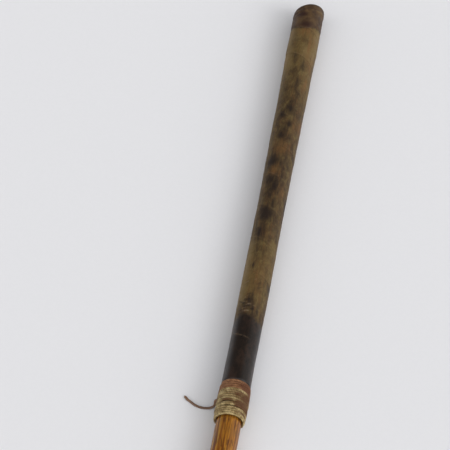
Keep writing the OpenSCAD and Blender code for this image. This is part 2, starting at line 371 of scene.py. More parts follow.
# ---------------------------------------------------------------- materials
def leather_material():
    """Old hand-worn leather: olive brown, dark where hands and oil have stained it, black and polished next
    to the whipping.
    Its sides away from the front and its dim left side are painted paler, as painted light, and it has
    painted shade in its dark creases and along the cap's edge. Reads the painted values stain, tone, warm,
    pale, polish, crease and seam."""
    m = Material("grip_leather_worn", IOR=1.48)
    skin = m.scaled(1000, 1000, 1000)
    broad = m.noise(skin, 0.05, 4, 0.6)
    mottle = m.noise(m.scaled(620, 1000, 1000), 0.15, 6, 0.62, 0.6)
    speck = m.noise(skin, 0.75, 4, 0.65)
    streaks = m.noise(m.scaled(190, 1000, 1000), 0.36, 5, 0.64, 0.3)
    hairs = m.noise(m.scaled(240, 1500, 1500), 0.9, 3, 0.6)
    stain = m.painted("stain")
    tone_and_painted_light = m.painted("tone_and_painted_light")
    crease = m.painted("crease")
    seam = m.painted("seam")

    # Olive tone along the grip, with painted light that makes the sides and the dim left side paler
    colour = m.mix(tone_and_painted_light, srgb(52, 38, 28), srgb(102, 83, 47))
    colour = m.mix(m.fit(broad, 0.4, 0.64, 0, 0.4), colour, srgb(66, 48, 30))
    dusty = m.math("MULTIPLY", m.fit(mottle, 0.5, 0.66, 0, 0.65), m.fit(tone_and_painted_light, 0.1, 0.7, 0.45, 1))
    colour = m.mix(dusty, colour, srgb(106, 90, 54))
    clean = m.fit(tone_and_painted_light, 0.3, 0.9, 1, 0.4)
    colour = m.mix(m.math("MULTIPLY", m.fit(mottle, 0.34, 0.5, 0.65, 0), clean), colour, srgb(44, 31, 22))
    colour = m.mix(m.fit(streaks, 0.52, 0.66, 0, 0.5), colour, srgb(100, 70, 40))
    colour = m.mix(m.math("MULTIPLY", m.fit(streaks, 0.32, 0.46, 0.5, 0), clean), colour, srgb(38, 28, 20))
    colour = m.mix(m.fit(hairs, 0.54, 0.7, 0, 0.35), colour, srgb(120, 102, 66))
    warm = m.math("MULTIPLY", m.painted("warm"), m.fit(streaks, 0.35, 0.6, 0.45, 1))
    colour = m.mix(warm, colour, srgb(112, 78, 44))
    # Painted light: paler places on the dim left side and at the right edge
    rubbed = m.math("MULTIPLY", m.painted("pale"), m.fit(streaks, 0.3, 0.6, 0.6, 1))
    colour = m.mix(rubbed, colour, srgb(146, 124, 86))
    # Dark stains, and painted shade along the cap's edge
    ragged = m.math("ADD", stain, m.fit(streaks, 0.3, 0.7, 0.14, -0.14))
    colour = m.mix(m.fit(ragged, 0.05, 0.95, 0, 0.93), colour, srgb(36, 26, 21))
    # A dark line at each edge of the wound strip, and painted shade in the dark creases
    colour = m.mix(m.math("MULTIPLY", seam, 0.75), colour, srgb(30, 21, 15))
    ragged_polish = m.math("ADD", m.painted("polish"), m.fit(streaks, 0.3, 0.7, -0.22, 0.22))
    black = m.mix(m.fit(hairs, 0.4, 0.7), srgb(24, 18, 14), srgb(38, 28, 21))
    black = m.mix(m.fit(mottle, 0.46, 0.64, 0, 0.55), black, srgb(56, 40, 31))
    blackness = m.fit(ragged_polish, 0.08, 0.92)
    colour = m.mix(blackness, colour, black)
    broken = m.fit(m.noise(skin, 0.7, 2, 0.5), 0.4, 0.56)
    colour = m.mix(m.math("MULTIPLY", crease, broken), colour, srgb(118, 100, 80))
    m.set(Base_Color=colour)

    rough = m.fit(speck, 0.3, 0.7, 0.5, 0.66)
    rough_polished = m.fit(speck, 0.3, 0.7, 0.27, 0.42)
    m.set(Roughness=m.blend(blackness, rough, rough_polished))
    m.set(Specular_IOR_Level=m.fit(blackness, 0, 1, 0.22, 0.34))

    grain = m.fit(m.cells(skin, 1.15), 0.05, 0.55)
    wrinkles = m.noise(m.scaled(900, 350, 350), 0.5, 5, 0.6, 0.4)
    height = m.math("ADD", m.math("MULTIPLY", grain, 0.35), wrinkles)
    height = m.math("MULTIPLY", height, m.fit(blackness, 0, 1, 1, 0.3))
    m.set(Normal=m.bump(height, 0.16))
    return m.made


def cap_material():
    """Dark moulded leather, scuffed paler along its ridges, with a painted highlight on the ridge where it
    faces the light and painted shade in the hollow behind the ridge and in the fold. Reads the painted values
    wear and stain.
    """
    m = Material("cap_leather_moulded", IOR=1.48, Specular_IOR_Level=0.28)
    skin = m.scaled(1000, 1000, 1000)
    broad = m.noise(skin, 0.09, 4, 0.6, 0.5)
    speck = m.noise(skin, 0.8, 4, 0.65)
    wear = m.painted("wear")
    stain = m.painted("stain")
    colour = m.mix(m.fit(broad, 0.35, 0.65), srgb(58, 41, 28), srgb(86, 65, 41))
    colour = m.mix(m.fit(speck, 0.55, 0.72, 0, 0.4), colour, srgb(100, 77, 50))
    # Dark stains, and painted shade in the hollow behind the ridge and in the fold
    colour = m.mix(m.fit(stain, 0.1, 0.9, 0, 0.88), colour, srgb(46, 25, 19))
    # Paler where scuffed, and a painted highlight on the ridge at its lit side
    worn = m.math("ADD", wear, m.fit(broad, 0.3, 0.7, -0.3, 0.2))
    colour = m.mix(m.fit(worn, 0.2, 1.0, 0, 0.55), colour, srgb(108, 88, 56))
    m.set(Base_Color=colour)
    m.set(Roughness=m.fit(speck, 0.3, 0.7, 0.44, 0.62))
    pores = m.fit(m.cells(skin, 1.3), 0.05, 0.6)
    height = m.math("ADD", m.math("MULTIPLY", pores, 0.4), m.noise(skin, 0.5, 4, 0.6))
    m.set(Normal=m.bump(height, 0.18))
    return m.made


def wood_material():
    """Varnished ash: honey brown, with long dark flecks where the grain is open."""
    m = Material("ash_varnished", IOR=1.5, Specular_IOR_Level=0.34, Coat_Weight=0.07, Coat_Roughness=0.25)
    rings = m.noise(m.scaled(14, 420, 420), 0.9, 5, 0.62, 0.3)
    bands = m.noise(m.scaled(3.5, 300, 300), 0.8, 3, 0.55, 0.5)
    fibre = m.noise(m.scaled(60, 2400, 2400), 0.8, 4, 0.6)
    flecks = m.noise(m.scaled(110, 1300, 1300), 0.62, 2, 0.5)
    cloud = m.noise(m.scaled(60, 60, 60), 1.0, 3, 0.5)
    colour = m.mix(m.fit(bands, 0.34, 0.6), srgb(116, 60, 10), srgb(160, 106, 30))
    colour = m.mix(m.fit(rings, 0.5, 0.64, 0, 0.75), colour, srgb(186, 140, 62))
    colour = m.mix(m.fit(rings, 0.34, 0.48, 0.85, 0), colour, srgb(88, 38, 7))
    colour = m.mix(m.fit(fibre, 0.5, 0.8, 0, 0.4), colour, srgb(88, 46, 14))
    colour = m.mix(m.fit(flecks, 0.53, 0.63, 0, 0.75), colour, srgb(66, 30, 9))
    colour = m.mix(m.fit(cloud, 0.45, 0.7, 0, 0.35), colour, srgb(118, 82, 34))
    m.set(Base_Color=colour)
    m.set(Roughness=m.fit(fibre, 0.3, 0.7, 0.3, 0.46))
    height = m.math("SUBTRACT", m.math("MULTIPLY", fibre, 0.5), m.fit(flecks, 0.55, 0.66))
    m.set(Normal=m.bump(height, 0.06))
    return m.made


def twine_material(name, light, middle, dark, tint):
    """Waxed twine. Reads the painted values groove, for dirt and painted shade in the hollows between strands
    and turns and on the twine's sides and underside, shade, which varies slowly along the twine, and faded,
    for its weathered end."""
    m = Material(name, IOR=1.46, Specular_IOR_Level=0.2)
    skin = m.scaled(1000, 1000, 1000)
    fibres = m.noise(skin, 2.4, 4, 0.65)
    blotches = m.noise(skin, 0.22, 4, 0.6, 0.4)
    groove = m.painted("groove")
    shade = m.painted("shade")
    colour = m.mix(m.fit(blotches, 0.36, 0.64), middle, light)
    colour = m.mix(m.fit(shade, 0.1, 0.95, 0, 0.94), colour, tint)
    colour = m.mix(m.painted("faded"), colour, srgb(128, 110, 96))
    colour = m.mix(m.fit(fibres, 0.5, 0.75, 0, 0.3), colour, light)
    colour = m.mix(m.fit(fibres, 0.28, 0.45, 0.4, 0), colour, dark)
    # Dirt and painted shade between the strands and turns, and painted shade on the sides and underside
    colour = m.mix(m.fit(groove, 0.12, 0.8, 0, 0.92), colour, dark)
    m.set(Base_Color=colour)
    m.set(Roughness=m.fit(fibres, 0.3, 0.7, 0.42, 0.62))
    m.set(Normal=m.bump(fibres, 0.14))
    return m.made


def bronze_material():
    """Cast bronze gone brown, rubbed bright where it works, green in its hollows. Reads the painted
    values rubbed and hollow."""
    m = Material("bronze_cast", Metallic=1.0)
    skin = m.scaled(1000, 1000, 1000)
    broad = m.noise(skin, 0.05, 5, 0.6, 0.5)
    sand = m.noise(skin, 1.1, 4, 0.6)
    spots = m.noise(skin, 0.3, 5, 0.65)
    rubbed = m.painted("rubbed")
    hollow = m.painted("hollow")
    colour = m.mix(m.fit(broad, 0.35, 0.65), srgb(96, 66, 38), srgb(133, 97, 56))
    colour = m.mix(m.fit(spots, 0.5, 0.7, 0, 0.6), colour, srgb(72, 49, 30))
    bright = m.math("ADD", rubbed, m.fit(spots, 0.3, 0.7, -0.3, 0.2))
    shine = m.fit(bright, 0.15, 0.8)
    colour = m.mix(shine, colour, srgb(196, 150, 88))
    green = m.fit(m.math("ADD", hollow, m.fit(spots, 0.3, 0.7, -0.35, 0.25)), 0.1, 0.8)
    colour = m.mix(green, colour, srgb(78, 92, 70))
    m.set(Base_Color=colour)
    m.set(Metallic=m.fit(green, 0, 1, 1.0, 0.15))
    rough = m.fit(spots, 0.3, 0.7, 0.36, 0.58)
    m.set(Roughness=m.math("SUBTRACT", rough, m.math("MULTIPLY", shine, 0.17)))
    height = m.math("ADD", m.math("MULTIPLY", sand, 0.7), m.math("MULTIPLY", spots, 0.8))
    m.set(Normal=m.bump(height, 0.12))
    return m.made


def metal_material(name, base, dark, roughness):
    """Drawn metal of a tack or a screw, dulled in spots."""
    m = Material(name, Metallic=1.0)
    skin = m.scaled(1000, 1000, 1000)
    spots = m.noise(skin, 0.7, 5, 0.6)
    scratches = m.noise(m.scaled(500, 3000, 900), 1.0, 3, 0.6)
    colour = m.mix(m.fit(spots, 0.38, 0.7, 0, 0.7), base, dark)
    m.set(Base_Color=colour)
    m.set(Roughness=m.fit(spots, 0.3, 0.7, roughness - 0.08, roughness + 0.15))
    m.set(Normal=m.bump(m.math("ADD", spots, m.math("MULTIPLY", scratches, 0.5)), 0.06))
    return m.made


def canvas_material():
    """Plain-woven canvas: threads that pass over and under, dusty and a little stained."""
    m = Material("canvas_underlay", Sheen_Weight=0.2)
    skin = m.scaled(1000, 1000, 1000)
    weave = m.cells(skin, 1.6, 0.25)
    dust = m.noise(skin, 0.2, 4, 0.6)
    colour = m.mix(m.fit(dust, 0.35, 0.65), srgb(150, 132, 98), srgb(186, 170, 136))
    colour = m.mix(m.fit(weave, 0.2, 0.6, 0, 0.5), colour, srgb(96, 80, 56))
    m.set(Base_Color=colour)
    m.set(Roughness=m.fit(dust, 0.3, 0.7, 0.75, 0.92))
    m.set(Normal=m.bump(weave, 0.3))
    return m.made


def floor_material():
    """Plain pale paper, the same all over, with a fine matt grain."""
    m = Material("floor_paper", Specular_IOR_Level=0.1)
    grain = m.noise(m.scaled(1, 1, 1), 300, 3, 0.5)
    m.set(Base_Color=m.mix(m.fit(grain, 0.3, 0.7), srgb(230, 230, 232), srgb(231, 231, 233)))
    m.set(Roughness=m.fit(grain, 0.3, 0.7, 0.88, 0.95))
    return m.made


LEATHER = leather_material()
CAP_LEATHER = cap_material()
WOOD = wood_material()
RED_TWINE = twine_material(
    "twine_red_brown", srgb(154, 112, 78), srgb(116, 76, 50), srgb(44, 26, 16), srgb(92, 54, 32)
)
TAN_TWINE = twine_material(
    "twine_tan", srgb(188, 168, 120), srgb(122, 100, 62), srgb(32, 22, 12), srgb(82, 44, 20)
)
BRONZE = bronze_material()
BRASS = metal_material("brass_worn", srgb(186, 148, 84), srgb(112, 82, 46), 0.34)
COPPER = metal_material("copper_dull", srgb(168, 104, 74), srgb(92, 58, 42), 0.4)
CANVAS = canvas_material()

# ---------------------------------------------------------------- whipping, first its loose end
# All of this is in mm. These repeat the sizes of the CAD model.
TWINE_R = 1.45
WHIP_TURNS = 15.5
UPPER_TURNS = 4
WHIP_START_ANGLE = 160
WHIP_WOOD_R = SHAFT_R / MM - 0.2
TONGUE_T = 0.4
WHIP_SWELL = 0.7
WHIP_LENGTH = (WHIP_END - WHIP_START) / MM
WHIP_X = (WHIP_START - BUTT) / MM
WHIP_PITCH = (WHIP_LENGTH - 2 * TWINE_R) / WHIP_TURNS
STRANDS = 3
LAY_LENGTH = 8.5
TWINE_SIDES = 18
TWINE_STEP = 0.55
# Every so many points and mm along the twine its shade drifts, and which noise that follows
DRIFT_EVERY = 20
DRIFT_LENGTH = 40
DRIFT_SEED = 9
# Where the tan twine is stained red brown: mm from the butt, angle, half length, half width, strength
TWINE_STAINS = [
    (590, 42, 7, 32, 0.9),
    (600, 22, 8, 24, 0.9),
    (607, 36, 5, 34, 1.1),
    (613.5, 58, 4, 38, 1.3),
    (612.8, 116, 3.2, 34, 1.1),
    (606.5, 140, 1.2, 30, 0.4),
    (604.5, 78, 1.8, 24, 0.8),
    (599.5, 60, 1.6, 24, 0.6),
    (618.5, 62, 2.4, 28, 1.1),
    (615, 16, 8, 20, 1.0),
    (624, 40, 2, 30, 0.8),
    (629, 66, 1.4, 24, 0.5),
    (606, 215, 6, 40, 0.7),
    (620, 300, 6, 40, 0.8),
]

TAIL_D = 2.8
# The loose end's route, from its exit, in mm from the whipping's end
TAIL_ROUTE = [
    (-29.5, -19, -4),
    (-29, -19, -7),
    (-28.5, -19, -10),
    (-28, -20, -13),
    (-27.5, -22, -15),
    (-27, -24.5, -16.5),
    (-26.5, -27.5, -16.8),
    (-26, -30.5, -16.8),
    (-26, -33.5, -16.8),
    (-26.5, -36.5, -16.8),
    (-27.5, -39.5, -16.8),
    (-28.5, -42, -16.8),
    (-30, -44.5, -16.8),
    (-31.5, -47, -16.8),
    (-33, -49.5, -16.8),
    (-35, -51.5, -16.8),
    (-37, -53.5, -16.8),
]
# Where it comes up from between the turns
TAIL_ROOT = [(-30, -17.5, -2.5)]


def smooth_path(points, step):
    """Points every step along a smooth curve through the given ones."""
    points = np.asarray(points, float)
    before = np.vstack([2 * points[0] - points[1], points[:-1]])
    after = np.vstack([points[1:], 2 * points[-1] - points[-2]])
    tangents = (after - before) / 2
    fine = []
    for i in range(len(points) - 1):
        u = np.linspace(0, 1, 12, endpoint=False)[:, None]
        fine.append(
            (2 * u**3 - 3 * u**2 + 1) * points[i]
            + (u**3 - 2 * u**2 + u) * tangents[i]
            + (3 * u**2 - 2 * u**3) * points[i + 1]
            + (u**3 - u**2) * tangents[i + 1]
        )
    fine = np.vstack([*fine, points[-1:]])
    reach = np.concatenate([[0], np.cumsum(np.linalg.norm(np.diff(fine, axis=0), axis=1))])
    even = np.linspace(0, reach[-1], int(reach[-1] / step) + 1)
    return np.stack([np.interp(even, reach, fine[:, i]) for i in range(3)], 1)


def twine_mesh(name, path, outward, radius, material, replaced, phase=0.0, hollow=1.0, faded=0.0):
    """A laid twine along a path in mm: three strands twisted together, as one tube whose lobed outline
    turns along it. outward gives each point's direction away from what the twine lies on."""
    path = np.asarray(path, float)
    count = len(path)
    ahead = np.gradient(path, axis=0)
    ahead /= np.linalg.norm(ahead, axis=1)[:, None]
    up = outward - (outward * ahead).sum(1)[:, None] * ahead
    up /= np.linalg.norm(up, axis=1)[:, None]
    side = np.cross(ahead, up)
    reach = np.concatenate([[0], np.cumsum(np.linalg.norm(np.diff(path, axis=0), axis=1))])
    b = np.radians(angles(TWINE_SIDES))[None, :]
    twist = (reach / LAY_LENGTH * 2 * math.pi + phase)[:, None]
    lobe = np.abs(np.cos(STRANDS / 2 * (b - twist)))
    radius = np.broadcast_to(radius, (count,))[:, None]
    r = radius * (0.84 + 0.17 * lobe**0.7)
    points = (
        path[:, None, :]
        + (r * np.cos(b))[..., None] * up[:, None, :]
        + (r * np.sin(b))[..., None] * side[:, None, :]
    )
    points[..., 2] = np.maximum(points[..., 2], FLOOR / MM)
    faces = ring_faces(count, TWINE_SIDES, closed=False)
    faces = [tuple(reversed(f)) for f in faces]
    points[..., 0] += BUTT / MM
    piece = add_mesh(name, points.reshape(-1, 3) * MM, faces, material, replaced)
    # Painted shade on the sides and underside, towards what the twine lies on, and dirt and painted shade
    # between the strands
    low = np.broadcast_to(np.clip(0.4 - np.cos(b), 0, 1) * 0.75, r.shape) * hollow
    groove = np.clip((1 - lobe) ** 2 * 0.9 + low, 0, 1)
    marks = reach[::DRIFT_EVERY]
    drift = np.interp(reach, marks, lumps(marks / DRIFT_LENGTH, 0, 0, seed=DRIFT_SEED))
    shade = np.broadcast_to((0.16 + 0.5 * drift)[:, None], r.shape)
    around_pole = np.degrees(np.arctan2(path[:, 2:], path[:, 1:2])) % 360
    shade = shade + patches(path[:, :1], around_pole, TWINE_STAINS)
    paint(piece, groove=groove, shade=shade, faded=np.full(r.shape, faded))
    return piece


def make_tail():
    exit_x = (WHIP_END - BUTT) / MM
    route = np.array(TAIL_ROUTE) + (exit_x, 0, 0)
    root = np.array(TAIL_ROOT) + (exit_x, 0, 0)
    path = smooth_path(np.vstack([root, route]), TWINE_STEP)
    along = np.linspace(0, 1, len(path))
    # The cut end is a little loose
    radius = TAIL_D / 2 * (1 + 0.1 * between(0.86, 0.96, along) - 0.5 * between(0.96, 1, along))
    outward = np.tile([0.0, 0.0, 1.0], (len(path), 1))
    piece = twine_mesh(
        "loose_end",
        path,
        outward,
        radius,
        RED_TWINE,
        ["whipping_tail"],
        hollow=0.5,
        faded=0.5,
    )


make_tail()

# How far a gap and a rise reach along the pole, in mm, and round it, in degrees
GAP_REACH = 5
GAP_ARC = 42
RISE_REACH = 2.2
RISE_ARC = 40
# How far the last half turn is drawn back against the one before it
END_DRAWN = 0.9
# Places where the turns are parted, or ride up on each other: mm from the butt, angle, size in mm
GAPS = [
    (613.6, 120, 1.2),
    (619.7, 110, 0.9),
    (606.5, 128, 0.4),
    (606.5, 55, 0.5),
    (617, 250, 0.7),
    (600, 300, 0.6),
]
RISES = [
    (617.3, 110, 0.5),
    (617.5, 45, 0.5),
    (627, 100, 0.5),
    (603, 130, 0.4),
    (611, 70, 0.4),
    (620, 215, 0.5),
    (607, 330, 0.4),
]


def whip_path(first, last):
    """The twine's centreline and its outward directions, for turns first to last."""
    step = TWINE_STEP / (2 * math.pi * (WHIP_WOOD_R + TWINE_R + 1))
    k = np.linspace(first, last, int((last - first) / step))
    x = WHIP_X + TWINE_R + WHIP_PITCH * k
    angle = WHIP_START_ANGLE - 360 * k
    slack = between(0, 0.6, k) * between(0, 0.6, WHIP_TURNS - k)
    shift = 0.34 * lumps(k * 1.7, 0, 0, seed=3) + 0.16 * lumps(k * 5.0, 0, 0, seed=4)
    lift = 0.22 * (lumps(k * 2.3, 0, 0, seed=5) + 0.4)
    for gap_x, gap_a, size in GAPS:
        near = hump(x, gap_x, GAP_REACH) * hump(around(angle, gap_a), 0, GAP_ARC)
        shift = shift + size * np.tanh((x - gap_x) / 1.2) * near
    for rise_x, rise_a, size in RISES:
        lift = lift + size * hump(x, rise_x, RISE_REACH) * hump(around(angle, rise_a), 0, RISE_ARC)
    x = x + shift * slack - END_DRAWN * between(WHIP_TURNS - 0.45, WHIP_TURNS - 0.1, k)
    swell = TONGUE_T + WHIP_SWELL * np.sin(math.pi * (x - WHIP_X) / WHIP_LENGTH)
    r = WHIP_WOOD_R + swell + TWINE_R + np.clip(lift, 0, 0.8) * slack
    a = np.radians(angle)
    outward = np.stack([0 * a, np.cos(a), np.sin(a)], 1)
    return np.stack([x, 0 * a, 0 * a], 1) + outward * r[:, None], outward


def make_whipping():
    path, outward = whip_path(0, UPPER_TURNS)
    twine_mesh("red_turns", path, outward, TWINE_R * 1.03, RED_TWINE, ["whipping_upper"])
    path, outward = whip_path(UPPER_TURNS, WHIP_TURNS)
    turn = np.linspace(UPPER_TURNS, WHIP_TURNS, len(path))
    # The last half turn thins out as it is tucked in, and nothing shades the side of the last turn
    radius = TWINE_R * (1.05 - 0.35 * between(WHIP_TURNS - 0.4, WHIP_TURNS - 0.1, turn))
    hollow = (1 - 0.7 * between(WHIP_TURNS - 1.15, WHIP_TURNS - 1, turn))[:, None]
    twine_mesh(
        "tan_turns",
        path,
        outward,
        radius,
        TAN_TWINE,
        ["whipping_main"],
        phase=1.0,
        hollow=hollow,
    )


make_whipping()

# ---------------------------------------------------------------- grip leather
GRIP_STATIONS = [
    (45, 17.85),
    (77, 18.15),
    (115, 17.45),
    (185, 16.85),
    (314, 16.05),
    (449, 16.5),
    (546, 16.2),
    (583, 16.4),
]
TUCK_X = 20
SKIRT_INNER_R = 16.6
LEATHER_T = 1.4
LEATHER_SIDES = 112
LEATHER_STEP = 0.8
STRIP_PITCH = 48.0
# Where the fine rings start, under the cap, and how far the tucked end stops short of the whipping's
LEATHER_SEEN_X = 34
TONGUE_SHORT = 4
# How high the wound strip's upper edge stands and how deep the lower one lies, in mm
SEAM_LIP = 0.16
SEAM_DIP = 0.22
# Heights in mm of the leather's swellings, of its wrinkles and of its fine grain
SWELLINGS = 0.3
WRINKLES = 0.13
GRAIN = 0.05
# Small cross ripples before the black leather: mm from the butt, angle, height in mm
RIPPLE_X = 478
RIPPLE_ANGLE = 118
RIPPLE_HEIGHT = 0.16
# Dark stains: mm from the butt, angle, half length in mm, half width in degrees, strength
STAINS = [
    (111, 76, 9, 14, 0.5),
    (72, 124, 15, 13, 0.3),
    (95, 112, 12, 12, 0.35),
    (466, 97, 8, 9, 0.6),
    (484, 88, 5, 9, 0.5),
    (135, 86, 13, 14, 0.4),
    (179, 91, 9, 16, 0.9),
    (189, 119, 6, 11, 0.75),
    (205, 84, 7, 16, 0.75),
    (215, 96, 9, 18, 0.75),
    (222, 106, 8, 20, 0.95),
    (262, 126, 11, 28, 0.9),
    (293, 120, 9, 26, 0.75),
    (303, 95, 14, 22, 0.8),
    (315, 106, 8, 22, 0.6),
    (325, 86, 12, 13, 0.75),
    (345, 108, 13, 30, 0.95),
    (369, 116, 14, 24, 0.8),
    (398, 118, 10, 10, 0.35),
    (420.5, 117, 5, 4.5, 0.9),
    (472, 108, 11, 24, 0.6),
]
UNSEEN_STAINS = 26
# Warmer, paler patches, in the same way
WARMS = [
    (240, 100, 11, 40, 0.5),
    (279, 108, 6, 22, 0.5),
    (325, 110, 8, 15, 0.1),
    (374, 90, 7, 12, 0.4),
    (105, 43, 13, 12, 0.75),
    (76, 64, 22, 8, 0.7),
    (52, 90, 8, 30, 0.6),
    (135, 48, 12, 10, 0.6),
    (62, 62, 12, 13, 0.5),
    (205, 60, 12, 14, 0.4),
    (310, 55, 12, 14, 0.45),
    (440, 85, 22, 30, 0.35),
]
UNSEEN_WARMS = 14
# Paler places, as painted light: most on the dimly lit left side, a few at the right edge near the cap, in
# the same way
PAINTED_LIGHT_PALES = [
    (60, 168, 20, 26, 0.55),
    (95, 160, 22, 24, 0.45),
    (128, 165, 20, 20, 0.25),
    (60, 30, 16, 16, 0.4),
    (88, 40, 13, 14, 0.35),
    (86, 80, 9, 12, 0.22),
    (425, 165, 38, 28, 0.55),
    (466, 160, 18, 22, 0.3),
    (215, 168, 60, 18, 0.16),
    (330, 168, 50, 18, 0.12),
]
# How olive and pale the leather is along the grip: mm from the butt, tone
TONES = [
    (45, 0.95),
    (85, 0.9),
    (125, 0.52),
    (200, 0.42),
    (255, 0.26),
    (370, 0.3),
    (400, 0.76),
    (455, 0.7),
    (490, 0.3),
]


def cap_edge(angle):
    """Where the cap's trimmed edge runs, in mm from the butt."""
    dip = 7.5 * hump(around(angle, 100), 0, 48) + 1.5 * hump(around(angle, 165), 0, 25)
    return 40 + dip + 0.9 * lumps(np.cos(np.radians(angle)) * 2, np.sin(np.radians(angle)) * 2, 0, seed=9)


def grip_field(x, angle):
    """Coordinates on the grip's surface for noise, in mm, without a seam at 0 degrees."""
    a = np.radians(angle)
    return x, 16.5 * np.cos(a), 16.5 * np.sin(a)


def strip_phase(x, angle):
    """Distance past the nearest edge of the wound strip, in mm along the pole."""
    wobble = 1.3 * np.sin(x / 37.0) + 0.5 * np.sin(x / 14.3 + 1)
    turn = (x + wobble + STRIP_PITCH * angle / 360 - 11.7) / STRIP_PITCH
    return (turn - np.floor(turn)) * STRIP_PITCH


# The long crease in the black leather: angle, mm from the butt
CREASE_COURSE = [(70, 526), (87, 524), (120, 521), (153, 517), (170, 511.5), (190, 508)]
# Short creases before the black leather: mm from the butt, first and last angle, mm per degree of
# slope, and strength, below 0 for a dark one, which is painted shade in the crease
CREASES = [
    (487.3, 99, 126, 0.0, 1.0),
    (478.2, 96, 116, 0.04, 0.9),
    (483, 112, 130, 0.06, 0.6),
    (467.5, 114, 128, 0.1, 0.9),
    (470.5, 126, 146, 0.12, 0.5),
    (475, 124, 144, 0.12, 0.5),
    (473.5, 122, 156, -0.25, -1.0),
    (471, 104, 118, 0.08, -1.0),
    (484, 80, 96, 0.05, -1.0),
    (480.5, 100, 122, 0.08, -0.9),
    (463, 100, 118, 0.05, -0.6),
    (452, 66, 78, 0.2, -0.6),
    (447, 72, 88, 0.2, -0.5),
    (441, 88, 100, 0.2, 0.5),
    (445, 120, 140, 0.1, 0.5),
    (434, 98, 110, 0.2, -0.4),
]


def black_zone(x, angle):
    """1 on the black polished leather next to the whipping."""
    right = between(12, 55, around(105, angle))
    left = between(14, 45, around(angle, 105))
    start = 482 + 6 * right + 2 * left
    return 0.62 * between(start, start + 17, x) + 0.38 * between(start + 6, start + 20 + 22 * left, x)


def crease_line(x, angle):
    """1 along the pale crease in the black leather, and along a short one before it."""
    wander = np.interp(angle, *zip(*CREASE_COURSE))
    first = hump(x, wander, 0.6) * between(74, 84, angle) * between(206, 188, angle)
    pale = (0.5 + 0.3 * between(130, 160, angle)) * first
    for line_x, low, high, slope, strength in CREASES:
        middle = (low + high) / 2
        run = between(low - 3, low + 3, angle) * between(high + 3, high - 3, angle)
        pale = pale + strength * run * hump(x, line_x + slope * around(angle, middle), 0.9)
    return pale


def unseen_spots(count, seed):
    """Spots like those in view, strewn over the rest of the grip."""
    random = np.random.default_rng(seed)
    low = (70, 175, 6, 10, 0.4)
    high = (470, 385, 16, 26, 1.0)
    return [tuple(random.uniform(low, high)) for _ in range(count)]


